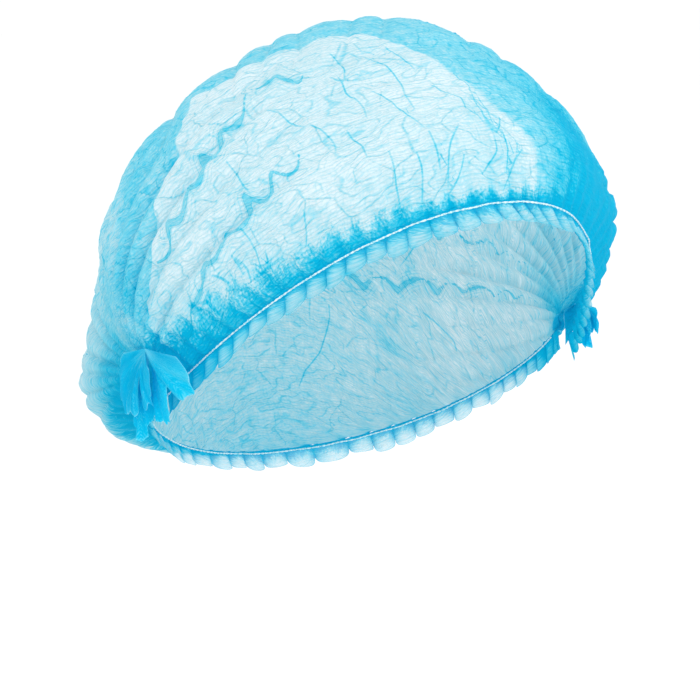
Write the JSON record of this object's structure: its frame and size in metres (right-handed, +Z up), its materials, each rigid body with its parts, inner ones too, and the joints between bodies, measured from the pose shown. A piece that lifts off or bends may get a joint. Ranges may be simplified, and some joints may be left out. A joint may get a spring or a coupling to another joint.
{
  "type": "disposable hairnet",
  "caption": "Hollow pleated nonwoven strip cap for covering the hair, open below, with elastic-gathered scalloped hems and a fan of folds at each side.",
  "frame": {"origin": "centre of the head opening, midway between the two side gathers", "axes": "+Z up along the head, -Y towards the face, -X towards the wearer's right"},
  "size_m": [0.2196, 0.2193, 0.1962],
  "materials": {
    "crown_nonwoven": "thin translucent light blue spunbond, crinkled",
    "ruffle_nonwoven": "gathered translucent blue spunbond",
    "gather_nonwoven": "many layers of folded blue spunbond",
    "elastic_thread": "white covered elastic thread"
  },
  "bodies": {
    "root": {"crown": "crown_nonwoven", "front_ruffle": "ruffle_nonwoven", "back_ruffle": "ruffle_nonwoven", "front_elastic": "elastic_thread", "back_elastic": "elastic_thread", "right_gather": "gather_nonwoven", "left_gather": "gather_nonwoven"}
  },
  "joints": []
}
